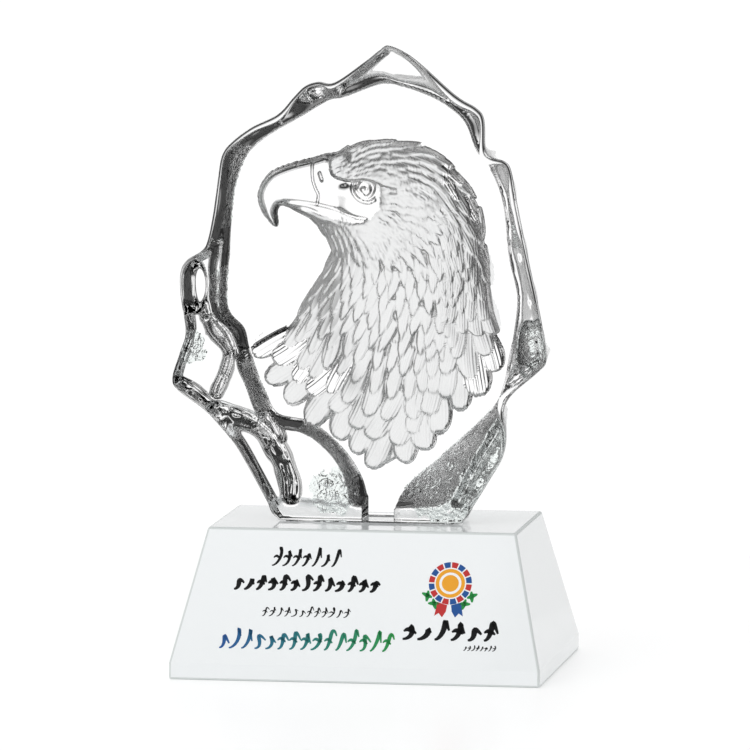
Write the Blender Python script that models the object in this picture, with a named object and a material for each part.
"""An eagle award in glass, on its own base.

The crystal is one slab of clear cast glass with the outline of a block of ice. Its front is flat and
polished. Its back is flat too inside a window, and is chipped away all round the window down to a thin
rim. An eagle's head is pressed into the window from behind, so that it is a hollow seen through the
front. The base is a block of white glass, wider below, that the crystal is glued upright to.

Frame: metres, +Z up, the viewer looks along +Y, +X to the viewer's right. The origin is the centre of
the base's underside.

The crystal is a free form. Its lines are drawn in millimetres on a sheet where it stands 146 mm tall,
x from the base's centre line and z up from its foot, and they follow CRYSTAL_HEIGHT. Its thicknesses,
its edge, the depth of the relief, the base and the joint all follow their own sizes.
"""

import math

import bmesh
import bpy
import numpy as np

# Base
BASE_WIDTH = 0.114
BASE_DEPTH = 0.0845
BASE_TOP_WIDTH = 0.095
BASE_TOP_DEPTH = 0.054
BASE_HEIGHT = 0.045
BASE_FOOT_BAND = 0.005
BASE_CHAMFER = 0.0007

# Crystal
CRYSTAL_HEIGHT = 0.146
CRYSTAL_THICKNESS = 0.028
CRYSTAL_FRONT = 0.010
RIM_THICKNESS = 0.0105
BENCH_THICKNESS = 0.0135
FOOT_THICKNESS = 0.0130
SIDE_DRAFT = 0.0017
PIT_DEPTH = 0.0011
DENT_DEPTH = 0.0005
FRONT_EDGE_RADIUS = 0.0022
BACK_EDGE_RADIUS = 0.0014
RELIEF_DEPTH = 0.0136
GLUE_GAP = 0.0003

# How finely the crystal's mesh is worked out, and how many of its triangles are kept
GRID = 150
EDGE_STEPS = 3
CRYSTAL_TRIANGLES = 9400

# The drawing: millimetres on a crystal 146 mm tall
DRAWN_HEIGHT = 146.0
DRAWN_RELIEF = 13.6
CENTRE = (-3.0, 70.0)

OUTLINE = [
    (5.5, 146.0), (13.2, 142.1), (25.8, 131.2), (32.4, 127.2), (34.7, 123.6), (35.1, 114.8), (37.0, 112.4),
    (40.9, 111.2), (43.0, 108.3), (44.9, 98.1), (48.0, 82.9), (50.8, 70.1), (53.0, 59.0), (53.9, 50.5),
    (51.6, 47.0), (43.4, 39.8), (40.8, 34.4), (41.7, 27.6), (40.6, 20.6), (36.1, 12.7), (30.6, 3.9), (28.2, 0.8),
    (25.6, 0.0), (0.0, 0.0), (-26.2, 0.0), (-29.2, 0.8), (-31.8, 4.2), (-40.6, 19.8), (-44.5, 25.2), (-51.7, 33.0),
    (-60.0, 39.0), (-62.0, 43.0), (-59.4, 51.5), (-57.8, 57.5), (-59.3, 67.9), (-59.4, 75.4), (-57.3, 79.4),
    (-52.9, 82.2), (-51.0, 85.2), (-49.2, 93.6), (-47.7, 104.3), (-46.4, 111.6), (-43.6, 115.6), (-37.2, 120.5),
    (-29.0, 124.6), (-24.2, 129.8), (-20.6, 133.3), (-16.5, 134.7), (-11.4, 134.6), (-1.9, 141.2), (2.4, 144.6),
]
WINDOW = [
    (-1.3, 132.6), (3.4, 133.1), (11.7, 130.9), (19.8, 127.2), (26.2, 121.6), (29.8, 113.0), (33.6, 108.6),
    (37.1, 100.6), (38.7, 93.5), (40.1, 79.7), (42.6, 68.4), (41.7, 57.6), (40.2, 49.5), (38.4, 40.8),
    (34.0, 32.4), (18.0, 17.8), (8.0, 8.6), (5.6, 2.0), (5.0, -6.0), (-3.5, -6.0), (-4.0, 5.0), (-6.5, 13.0),
    (-12.8, 21.4), (-21.4, 28.0), (-31.6, 30.4),
    (-35.4, 36.6), (-38.4, 43.4), (-40.9, 51.0), (-42.4, 57.0), (-47.6, 64.0), (-46.8, 81.3), (-46.0, 93.7),
    (-44.5, 103.0), (-41.0, 111.1), (-34.4, 116.9), (-23.7, 123.2), (-15.9, 127.8), (-11.2, 128.8),
]

# The wall down from the window: its usual width, and where it is wider: centre, reach and by how much
WALL_WIDTH = 3.3
WIDE_WALL = [
    (20.0, 8.0, 17.0, 10.0), (-20.0, 20.0, 14.0, -1.6), (-46.0, 88.0, 22.0, 1.2), (26.0, 119.0, 9.0, 2.2),
    (-22.0, 126.0, 7.0, 0.8),
]
# Where the wall has a narrow ledge half way down
LEDGE_CENTRE, LEDGE_REACH = (-47.0, 84.0), 30.0
# Up to here from its foot the crystal is thick and flat
FOOT_STEP = 5.2

# Ridges left standing between the chips: their line, half width, and height as a share of the way from
# the chipped floor up to the window
RIDGES = [
    ([(-57.5, 80.0), (-51.5, 59.5), (-45.4, 50.0), (-49.4, 37.4)], 1.1, 0.55),
    ([(-62.0, 41.0), (-52.1, 34.2), (-38.7, 29.3), (-31.1, 21.8), (-26.6, 12.7), (-26.4, 5.0)], 1.8, 0.65),
    ([(-61.0, 40.0), (-52.6, 31.6), (-40.7, 17.0), (-33.1, 4.0)], 0.8, 0.30),
    ([(-52.0, 61.0), (-47.5, 56.0), (-44.5, 50.0)], 1.3, 0.75),
    ([(-34.9, 30.2), (-31.1, 24.0)], 1.8, 0.80),
    ([(40.1, 41.4), (47.0, 47.0), (53.0, 52.0)], 2.4, 0.70),
    ([(40.2, 36.0), (38.0, 28.4), (31.3, 16.6), (25.4, 5.0)], 1.4, 0.55),
    ([(-10.5, 135.0), (-12.5, 129.0)], 1.8, 0.75),
    ([(-23.0, 131.5), (-20.0, 125.5)], 1.6, 0.70),
    ([(-32.5, 124.0), (-30.0, 119.5)], 1.6, 0.90),
    ([(37.0, 113.0), (31.0, 110.5)], 2.4, 0.95),
    ([(-51.5, 85.0), (-46.8, 83.0)], 2.0, 0.60),
]
# How much a ridge's flanks are streaked along its line
STREAK = 0.10
# Pebble-like knobs: centre, half width, half height, height as a share of the same way up, and how flat
# they are on top
KNOBS = [
    (-55.6, 70.5, 3.4, 8.2, 0.70, 5.0), (47.6, 54.0, 4.4, 8.0, 0.80, 2.0), (-19.0, 130.4, 3.0, 2.4, 0.80, 3.0),
    (43.5, 102.0, 2.0, 4.0, 0.35, 2.0), (46.0, 84.0, 1.5, 5.0, 0.35, 2.0), (49.0, 70.0, 1.4, 4.5, 0.35, 2.0),
]
# Pitted ground: centre, reach and strength
PITTED = [
    (-57.5, 52.0, 5.0, 1.0), (-13.0, 8.0, 6.5, 1.0), (24.0, 12.0, 13.0, 1.0), (36.0, 30.0, 9.0, 1.0),
    (47.5, 52.0, 7.0, 0.9), (-49.5, 92.0, 4.0, 0.5), (-44.0, 108.0, 6.0, 0.8), (43.0, 88.0, 5.0, 0.3),
    (-15.0, 131.0, 3.0, 0.6), (-44.5, 62.0, 4.0, 0.5),
]

# The eagle's head, looking left
BILL = [
    (-8.0, 110.6), (-15.0, 111.2), (-20.4, 109.8), (-25.3, 108.6), (-30.1, 107.0), (-33.9, 105.1),
    (-36.6, 102.0), (-37.8, 98.8), (-37.7, 96.0), (-36.7, 93.3), (-35.0, 90.9), (-32.4, 88.5), (-31.9, 90.0),
    (-32.1, 92.6), (-31.7, 94.3), (-30.6, 95.3), (-26.9, 94.1), (-21.6, 91.8), (-17.0, 89.8), (-8.0, 90.7),
]
THROAT = [
    (-27.5, 94.6), (-23.9, 93.0), (-19.4, 89.8), (-15.7, 83.8), (-14.7, 80.9), (-16.3, 76.9), (-19.1, 72.3),
    (-24.6, 62.3), (-26.6, 57.9), (-31.5, 55.3), (-38.0, 51.5),
]
CHEST = [
    (-38.0, 51.5), (-35.4, 45.6), (-30.5, 38.3), (-24.4, 31.5), (-15.6, 24.4), (-8.5, 18.0), (-3.1, 13.3),
    (1.1, 12.1), (5.8, 13.7), (14.3, 20.9), (22.2, 28.1), (30.1, 33.9), (36.7, 40.2), (39.8, 48.1),
]
NAPE = [
    (-15.2, 110.3), (-8.6, 113.7), (-1.7, 115.2), (5.2, 115.1), (12.1, 114.1), (18.8, 111.3), (23.8, 106.1),
    (27.6, 100.8), (30.6, 95.0), (31.5, 88.5), (32.4, 81.0), (33.0, 68.6), (34.2, 62.4), (36.2, 56.4), (39.8, 48.1),
]
FACE_EDGE = [
    (-27.5, 94.6), (-18.5, 92.5), (-10.0, 90.4), (-3.4, 91.0), (0.6, 94.8), (1.4, 98.3), (0.3, 101.6),
    (-4.8, 103.5), (-9.6, 103.4), (-14.2, 105.8), (-15.2, 110.3),
]
BROW = [
    (-15.2, 110.7), (-15.0, 106.1), (-12.9, 104.0), (-9.2, 103.1), (-5.2, 103.6), (-1.1, 103.0), (2.3, 101.7),
    (6.5, 101.1), (13.0, 102.3),
]
GAPE = [(-31.2, 95.7), (-27.0, 96.7), (-19.2, 95.9), (-13.6, 94.6), (-8.1, 92.6), (-3.6, 91.7)]
JAW = [(-28.0, 94.5), (-22.7, 94.7), (-18.5, 92.9), (-14.8, 91.5), (-9.8, 90.3), (-4.0, 90.5)]
CERE = [(-20.6, 109.3), (-20.4, 103.8), (-19.5, 100.7), (-18.6, 98.7), (-19.0, 96.2)]
NOSTRIL = [(-18.3, 105.5), (-17.5, 103.3)]
EYE = (-4.4, 101.0)
LID_SHIFT = (0.5, 0.3)
# The relief's heights and radii, in drawn millimetres, and how far in from its side the neck is rounded
NECK_RELIEF, CROWN_EXTRA = 8.5, 1.5
NECK_ROUNDING, CROWN_ROUNDING = 13.0, 6.0
BILL_RELIEF, BILL_ROUNDING = 6.4, 4.6
BALL_RELIEF, BALL_RADIUS, PUPIL_RADIUS = 1.9, 2.7, 1.0
LID_RELIEF, LID_RADIUS = 0.8, 3.6


def smooth(t):
    """0 up to t = 0 and 1 from t = 1 on, with a soft S between: 3t^2 - 2t^3."""
    t = np.clip(t, 0, 1)
    return t * t * (3 - 2 * t)


def spline(points, closed=False, steps=6):
    """A Catmull-Rom curve through the points, with a few straight steps between each two."""
    p = np.array(points, float)
    p = np.vstack([p[-1], p, p[:2]]) if closed else np.vstack([2 * p[0] - p[1], p, 2 * p[-1] - p[-2]])
    t = np.linspace(0, 1, steps, endpoint=False)[:, None]
    spans = [
        0.5 * (2 * b + (c - a) * t + (2 * a - 5 * b + 4 * c - d) * t**2 + (3 * b - a - 3 * c + d) * t**3)
        for a, b, c, d in zip(p, p[1:], p[2:], p[3:])
    ]
    return np.vstack(spans if closed else spans + [p[-2:-1]])


def near_line(x, z, line):
    """The distance to a line of points, which side of it (+1 on its left) and the share of the way along."""
    best = np.full(x.shape, np.inf)
    side = np.zeros(x.shape)
    along = np.zeros(x.shape)
    spans = np.diff(line, axis=0)
    lengths = np.linalg.norm(spans, axis=1)
    starts = np.cumsum(lengths) - lengths
    for (px, pz), (dx, dz), length, start in zip(line, spans, lengths, starts):
        t = np.clip(((x - px) * dx + (z - pz) * dz) / length**2, 0, 1)
        ex = x - px - t * dx
        ez = z - pz - t * dz
        distance = np.hypot(ex, ez)
        closer = distance < best
        best = np.where(closer, distance, best)
        side = np.where(closer, np.sign(dx * ez - dz * ex), side)
        along = np.where(closer, start + t * length, along)
    return best, side, along / lengths.sum()


def within(x, z, loop):
    """True inside a closed loop of points: a level line from there crosses it an odd number of times."""
    odd = np.zeros(x.shape, bool)
    for (ax, az), (bx, bz) in zip(loop, np.roll(loop, -1, axis=0)):
        if az != bz:
            odd ^= ((az > z) != (bz > z)) & (x < (bx - ax) * (z - az) / (bz - az) + ax)
    return odd


def depth_inside(x, z, loop):
    """The distance to a closed loop, positive inside it and negative outside."""
    distance = near_line(x, z, np.vstack([loop, loop[:1]]))[0]
    return np.where(within(x, z, loop), distance, -distance)


def waves(x, z, length, seed):
    """A slow unevenness between about -1 and 1: six sine waves near that length, each its own way."""
    rng = np.random.default_rng(seed)
    total = np.zeros(x.shape)
    for _ in range(6):
        turn, stretch, phase = rng.uniform((0, 0.7, 0), (math.pi, 1.5, 2 * math.pi))
        total += np.sin((x * math.cos(turn) + z * math.sin(turn)) * 2 * math.pi / (length * stretch) + phase)
    return total / 4


def even(points, count=65):
    """A smooth curve through the points, as points at even distances along it."""
    line = spline(points)
    reach = np.r_[0, np.cumsum(np.linalg.norm(np.diff(line, axis=0), axis=1))]
    places = np.linspace(0, reach[-1], count)
    return np.stack([np.interp(places, reach, line[:, i]) for i in (0, 1)], 1)


def lie(u, v):
    """Where the plumage lies. A Coons patch between four borders: u goes from the throat to the nape, and
    v from the face down to the chest, each as a share."""
    share = np.linspace(0, 1, 65)
    face, chest, throat, nape = (even(line) for line in (FACE_EDGE, CHEST, THROAT, NAPE))

    def read(border, t):
        return np.stack([np.interp(t, share, border[:, i]) for i in (0, 1)], -1)

    a, b = np.asarray(u)[..., None], np.asarray(v)[..., None]
    corners = (1 - a) * (1 - b) * face[0] + a * (1 - b) * face[-1] + (1 - a) * b * chest[0] + a * b * chest[-1]
    sides = (1 - a) * read(throat, v) + a * read(nape, v)
    return (1 - b) * read(face, u) + b * read(chest, u) + sides - corners


def feathers(seed=4):
    """The feathers, row by row from the face to the chest: each one's place, direction, length, width,
    bend and share of the way down. They lengthen down the neck and widen on the chest."""
    rng = np.random.default_rng(seed)
    t = np.linspace(0, 1, 120)
    placed = []
    v, row = 0.0, 0
    while v < 0.965:
        length = 5.0 + 5.8 * smooth(v * 2.0) + 2.0 * smooth((v - 0.5) / 0.4)
        line = lie(t, np.full(t.shape, v))
        crown = smooth((t - 0.62) / 0.16) * (1 - smooth((v - 0.25) / 0.25))
        width = 2.1 + 2.5 * smooth(v * 2.0) + 3.6 * smooth((v - 0.56) / 0.36)
        narrower = (1 - smooth(t / 0.25)) * (1 - smooth((v - 0.45) / 0.3))
        width = width * (1 - 0.35 * crown) * (1 - 0.3 * narrower)
        step = np.linalg.norm(np.diff(line, axis=0), axis=1) / (0.48 * (width[1:] + width[:-1]))
        tally = np.r_[0, np.cumsum(step)]
        count = max(5, round(tally[-1]))
        for k in (np.arange(count) + 0.25 + 0.5 * (row % 2) + rng.uniform(-0.16, 0.16, count)) / count:
            u = float(np.interp(k * tally[-1], tally, t))
            turn, stretch, spread, bend = rng.uniform((-0.13, 0.86, 0.9, -0.14), (0.13, 1.16, 1.14, 0.14))
            if k <= 1:
                (x, z), (ahead_x, ahead_z) = lie([u, u], [v, v + 0.03])
                heading = math.atan2(ahead_z - z, ahead_x - x) + turn + 0.15 * smooth((u - 0.9) / 0.1)
                stretch *= 1 + 0.3 * float(np.interp(u, t, crown))
                wide = float(np.interp(u, t, width)) * spread
                placed.append((x, z, heading, length * stretch, wide, bend, v))
        v += 0.55 * length / 95
        row += 1
    return placed


def plumage(x, z):
    """How far the feathers stand up, and how much of the ground they cover. Each is a leaf, pointed on the
    neck and round on the chest, that rises from its root to its tip and is arched across; the highest wins."""
    height = np.zeros(x.shape)
    cover = np.zeros(x.shape)
    for cx, cz, heading, length, width, bend, v in feathers():
        near = (np.abs(x - cx) < length) & (np.abs(z - cz) < length)
        if not near.any():
            continue
        dx = x[near] - cx
        dz = z[near] - cz
        a = (dx * math.cos(heading) + dz * math.sin(heading)) / length + 0.35
        b = (dz * math.cos(heading) - dx * math.sin(heading)) * 2 / width - 4 * bend * (a - 0.35) ** 2
        breast = smooth((v - 0.5) / 0.35)
        tip = (1 - np.clip(a, 0, 1) ** (2.3 + 2.2 * breast)) ** (0.80 - 0.32 * breast)
        rim = np.minimum((tip * np.clip(0.72 + 0.5 * a, 0.72, 1) - np.abs(b)) * width / 2, (1 - a) * length)
        rim = np.where(a < 0, -1, rim)
        lift = (0.70 + 0.70 * smooth(v * 1.6)) * (0.10 + 0.90 * np.clip(a, 0, 1))
        arch = 0.17 * width * np.sqrt(np.clip(1 - b * b, 0, 1))
        edge = smooth(rim / (0.30 + 0.2 * breast))
        height[near] = np.maximum(height[near], (lift + arch) * np.sqrt(edge))
        cover[near] = np.maximum(cover[near], edge)
    return height, cover


def dome(depth, reach, power):
    """A rounded rise from 0 at an edge to 1 at that reach inside it, like a quarter of a superellipse."""
    return (1 - (1 - np.clip(depth / reach, 0, 1)) ** power) ** (1 / power)


def groove(x, z, line, depth, half_width):
    """A smooth groove along a line of points: depth times exp(-(distance / half width)^2)."""
    return -depth * np.exp(-((near_line(x, z, spline(line))[0] / half_width) ** 2))


def eagle(x, z):
    """The depth of the head pressed into the back, in drawn millimetres, and the share that is plumage."""
    throat, chest, nape, bill_line = spline(THROAT), spline(CHEST), spline(NAPE), spline(BILL, closed=True)
    outside_chest = chest + 14 * (chest - (2, 55)) / np.linalg.norm(chest - (2, 55), axis=1)[:, None]
    neck = within(x, z, np.vstack([throat, outside_chest, nape[::-1]]))
    from_throat, from_nape = near_line(x, z, throat)[0], near_line(x, z, nape)[0]
    from_side = np.minimum(from_throat, from_nape)
    above_chest = within(x, z, np.vstack([throat, chest, nape[::-1]]))
    from_chest = near_line(x, z, chest)[0] * np.where(above_chest, 1, -1)

    crown = smooth((z - 92) / 14)
    round_by = 1.9 - 0.6 * smooth((from_throat - from_nape) / 8)
    rounding = NECK_ROUNDING + CROWN_ROUNDING * crown
    body = (NECK_RELIEF + CROWN_EXTRA * crown) * dome(from_side, rounding, round_by)
    body *= 0.25 + 0.75 * smooth((from_chest + 2) / 40)
    body = (body + 0.45 * waves(x, z, 15, 3) * smooth(from_side / 6)) * (0.30 + 0.70 * smooth((x + 34) / 30))
    body = np.where(neck, body, 0)
    in_bill = depth_inside(x, z, bill_line)
    bill = BILL_RELIEF * dome(np.clip(in_bill, 0, None), BILL_ROUNDING, 3.0) * (1 - smooth((x + 14) / 14))
    blend = np.clip(0.5 + 0.5 * (body - bill), 0, 1)
    both = bill + (body - bill) * blend + blend * (1 - blend)
    ground = np.where((body > 0) & (bill > 0), both, np.maximum(body, bill))

    face = depth_inside(x, z, np.vstack([spline(FACE_EDGE), [(-24, 116), (-45, 104), (-40, 84)]]))
    bare = smooth((face + 1.2) / 3.6)
    height, cover = plumage(x, z)
    held = np.where((neck & (from_chest > 4)) | (in_bill > 0), 1, cover * neck)
    relief = ground * held + height * (1 - bare) * np.where(neck, 1, smooth(1 - from_side / 1.6))

    brow, over, along = near_line(x, z, spline(BROW))
    shelf = smooth(brow / 0.8) * (1.9 - 0.9 * along) * smooth((16 - x) / 12) * smooth((x + 16.6) / 1.2)
    relief += np.where((over > 0) & neck & (z > 100), shelf, 0)
    below = (over < 0) & neck & (along > 0.12) & (along < 0.8)
    relief -= np.where(below, 0.9 * np.exp(-((brow / 1.6) ** 2)), 0)
    on_head = neck | (in_bill > 0)
    relief += groove(x, z, GAPE, 1.1, 0.5) * on_head + groove(x, z, JAW, 0.7, 0.55) * (face > 0)
    relief += (groove(x, z, CERE, 0.7, 0.4) + groove(x, z, NOSTRIL, 1.3, 0.45)) * (in_bill > 0)
    relief -= 0.4 * (face > 0) * np.exp(-(((x + 11.5) / 4.0) ** 2) - ((z - 98.5) / 2.6) ** 2)

    from_eye = np.hypot(x - EYE[0], z - EYE[1])
    from_lid = np.hypot(x - EYE[0] - LID_SHIFT[0], z - EYE[1] - LID_SHIFT[1])
    ball = BALL_RELIEF * np.sqrt(np.clip(1 - (from_eye / BALL_RADIUS) ** 2, 0, 1))
    ball -= 0.7 * np.exp(-((from_eye / PUPIL_RADIUS) ** 4))
    hollow = 1.2 * np.exp(-((from_eye / LID_RADIUS) ** 4))
    socket = LID_RELIEF * np.exp(-(((from_lid - LID_RADIUS) / 0.5) ** 2)) - hollow
    relief += (ball + socket) * np.where(over > 0, 1 - smooth(brow / 0.7), 1)
    relief = np.where(on_head | (cover > 0), np.clip(relief, 0, None), 0)
    return relief, cover * (1 - bare)


def chipped(x, z):
    """The slab's thickness in metres, before the head is pressed in: full in the window, a steep wall down
    from it, a nearly flat floor out to the rim, and the ridges, knobs and pits of the broken edge."""
    unit = CRYSTAL_HEIGHT / DRAWN_HEIGHT
    window = depth_inside(x, z, spline(WINDOW, closed=True))
    outline = depth_inside(x, z, spline(OUTLINE, closed=True)) - SIDE_DRAFT / unit * smooth(z / FOOT_STEP)
    out = np.clip(-window, 0, None)
    share = np.clip(outline, 0, None) / (np.clip(outline, 0, None) + out + 1e-9)
    floor = RIM_THICKNESS + (BENCH_THICKNESS - RIM_THICKNESS) * share
    floor = floor + (FOOT_THICKNESS - floor) * np.exp(-((z / FOOT_STEP) ** 6))

    width = WALL_WIDTH + 0.6 * waves(x, z, 13, 5)
    for cx, cz, reach, extra in WIDE_WALL:
        width = width + extra * np.exp(-(((x - cx) / reach) ** 2) - ((z - cz) / reach) ** 2)
    down = out / width
    straight = 1 - 0.7 * np.clip(down, 0, 1) - 0.3 * smooth(down)
    halves = 1 - 0.5 * smooth(down / 0.42) - 0.5 * smooth((down - 0.58) / 0.42)
    ledge = np.exp(-(np.hypot(x - LEDGE_CENTRE[0], z - LEDGE_CENTRE[1]) / LEDGE_REACH) ** 4)
    stand = straight + (halves - straight) * ledge

    uneven = 1 + 0.25 * waves(x, z, 9, 7)
    for line, half_width, crest in RIDGES:
        away = near_line(x, z, spline(line))[0] / (half_width * uneven)
        streaks = 1 - STREAK + STREAK * np.cos(7 * away + 2 * waves(x, z, 7, 17))
        stand = np.maximum(stand, crest * np.exp(-(away**2)) * streaks)
    for cx, cz, half_width, half_height, crest, flatness in KNOBS:
        away = np.hypot((x - cx) / half_width, (z - cz) / half_height)
        stand = np.maximum(stand, crest * np.sqrt(np.clip(1 - away**flatness, 0, 1)))
    stand = np.where(out > 0, stand * smooth((z - FOOT_STEP + 2) / 3), 1)
    pitted = sum(
        strength * np.exp(-(np.hypot(x - cx, z - cz) / reach) ** 3) for cx, cz, reach, strength in PITTED
    )
    pits = PIT_DEPTH * np.clip(pitted, 0, 1) * np.abs(waves(x, z, 2.6, 11))
    pits = pits + DENT_DEPTH * np.clip(pitted, 0, 1) * waves(x, z, 5, 13)
    whole = floor + (CRYSTAL_THICKNESS - floor) * np.clip(stand, 0, 1)
    whole = whole - pits * smooth(out / 0.8) * smooth(outline / 1.5)
    from_edge = 1 - np.clip(outline * unit / BACK_EDGE_RADIUS, 0, 1)
    return whole - BACK_EDGE_RADIUS * (1 - np.sqrt(1 - from_edge**2)) * smooth((z - 1) / FOOT_STEP)


def material(name, colour, roughness, transmission=0.0):
    """A Principled material in one colour."""
    made = bpy.data.materials.new(name)
    made.use_nodes = True
    shader = made.node_tree.nodes["Principled BSDF"]
    shader.inputs["Base Color"].default_value = (*colour, 1)
    shader.inputs["Roughness"].default_value = roughness
    shader.inputs["Transmission Weight"].default_value = transmission
    return made


def square_on_outline(steps):
    """A square grid pulled out to the edge of the crystal's back, which is its outline less the draft of
    its sides. Each square ring of it becomes that edge drawn smaller about the centre, so its cells stay
    about even. Gives x and z in drawn millimetres."""
    line = spline(OUTLINE, closed=True) - CENTRE
    draft = SIDE_DRAFT * DRAWN_HEIGHT / CRYSTAL_HEIGHT * smooth((line[:, 1:] + CENTRE[1]) / FOOT_STEP)
    line = line * (1 - draft / np.linalg.norm(line, axis=1, keepdims=True))
    turns = np.unwrap(np.arctan2(line[:, 1], line[:, 0]))
    a, b = np.meshgrid(np.linspace(-1, 1, steps + 1), np.linspace(-1, 1, steps + 1), indexing="ij")
    ring = np.maximum(np.abs(a), np.abs(b))
    flat = np.abs(a) >= np.abs(b)
    ratio = np.where(flat, b / np.where(a == 0, 1, a), a / np.where(b == 0, 1, b))
    turn = np.where(flat, ratio * math.pi / 4, math.pi / 2 - ratio * math.pi / 4)
    turn = turn + np.where(flat & (a < 0) | ~flat & (b < 0), math.pi, 0)
    first = min(turns[0], turns[-1])
    turn = first + (turn - first) % (2 * math.pi)
    order = np.argsort(turns)
    x, z = (np.interp(turn, turns[order], line[order, i], period=2 * math.pi) for i in (0, 1))
    return CENTRE[0] + ring * x, np.clip(CENTRE[1] + ring * z, 0, None)


def make_crystal():
    """The slab: its chipped back as a grid, its side, its rounded front edge and its flat front."""
    unit = CRYSTAL_HEIGHT / DRAWN_HEIGHT
    x, z = square_on_outline(GRID)
    relief, _ = eagle(x, z)
    thickness = chipped(x, z) - relief * RELIEF_DEPTH / DRAWN_RELIEF

    def place(x, y, z):
        foot = BASE_HEIGHT + GLUE_GAP
        return np.stack([x * unit, y - CRYSTAL_FRONT, z * unit + foot], -1).reshape(-1, 3)

    index = np.arange((GRID + 1) ** 2).reshape(GRID + 1, GRID + 1)
    loop = np.r_[index[:-1, 0], index[-1, :-1], index[:0:-1, -1], index[0, :0:-1]]
    corners = index[:-1, :-1], index[:-1, 1:], index[1:, 1:], index[1:, :-1]
    faces = np.stack([c.ravel() for c in corners], 1).tolist()
    rings = [place(x, thickness, z)]
    edge_x, edge_z = x.ravel()[loop], z.ravel()[loop]
    reach = np.hypot(edge_x - CENTRE[0], edge_z - CENTRE[1])
    draft = SIDE_DRAFT / unit * smooth(edge_z / FOOT_STEP)
    edge_x = CENTRE[0] + (edge_x - CENTRE[0]) * (1 + draft / reach)
    edge_z = CENTRE[1] + (edge_z - CENTRE[1]) * (1 + draft / reach)
    reach = reach + draft
    radius = FRONT_EDGE_RADIUS * (0.3 + 0.7 * smooth(edge_z / FOOT_STEP))
    before = loop
    count = len(index.ravel())
    for k in range(EDGE_STEPS + 1):
        turn = k / EDGE_STEPS * math.pi / 2
        inward = 1 - radius * (1 - math.cos(turn)) / unit / reach
        ring_x = CENTRE[0] + (edge_x - CENTRE[0]) * inward
        ring_z = CENTRE[1] + (edge_z - CENTRE[1]) * inward
        y = radius * (1 - math.sin(turn))
        rings.append(place(ring_x, y, ring_z))
        after = np.arange(count, count + len(loop))
        faces += np.stack([before, np.roll(before, -1), np.roll(after, -1), after], 1).tolist()
        before = after
        count += len(loop)
    faces.append(before.tolist())

    mesh = bpy.data.meshes.new("crystal")
    mesh.from_pydata(np.vstack(rings).tolist(), [], faces)
    shape = bmesh.new()
    shape.from_mesh(mesh)
    bmesh.ops.recalc_face_normals(shape, faces=shape.faces)
    bmesh.ops.triangulate(shape, faces=shape.faces)
    triangles = len(shape.faces)
    shape.to_mesh(mesh)
    shape.free()
    mesh.materials.append(material("clear cast crystal", (0.95, 0.97, 0.97), 0.05, 1.0))
    crystal = bpy.data.objects.new("crystal", mesh)
    bpy.context.collection.objects.link(crystal)
    fewer = crystal.modifiers.new("fewer triangles", "DECIMATE")
    fewer.ratio = min(1, CRYSTAL_TRIANGLES / triangles)
    mesh.shade_smooth()
    mesh.set_sharp_from_angle(angle=math.radians(35))


def make_base():
    """The base: an upright foot band, four sloping sides and a flat top, with its edges ground off."""
    levels = [
        (BASE_WIDTH, BASE_DEPTH, 0),
        (BASE_WIDTH, BASE_DEPTH, BASE_FOOT_BAND),
        (BASE_TOP_WIDTH, BASE_TOP_DEPTH, BASE_HEIGHT),
    ]
    shape = bmesh.new()
    rings = [
        [shape.verts.new((sx * width / 2, sy * depth / 2, z)) for sx, sy in ((-1, -1), (1, -1), (1, 1), (-1, 1))]
        for width, depth, z in levels
    ]
    shape.faces.new(rings[0][::-1])
    shape.faces.new(rings[-1])
    for low, high in zip(rings, rings[1:]):
        for i in range(4):
            j = (i + 1) % 4
            shape.faces.new((low[i], low[j], high[j], high[i]))
    mesh = bpy.data.meshes.new("base")
    shape.to_mesh(mesh)
    shape.free()
    mesh.materials.append(material("white glass", (0.86, 0.88, 0.88), 0.08))
    base = bpy.data.objects.new("base", mesh)
    bpy.context.collection.objects.link(base)
    ground = base.modifiers.new("ground edges", "BEVEL")
    ground.width = BASE_CHAMFER
    ground.segments = 1
    ground.limit_method = "ANGLE"
    ground.angle_limit = math.radians(30)


for thing in list(bpy.data.objects):
    bpy.data.objects.remove(thing)
make_base()
make_crystal()
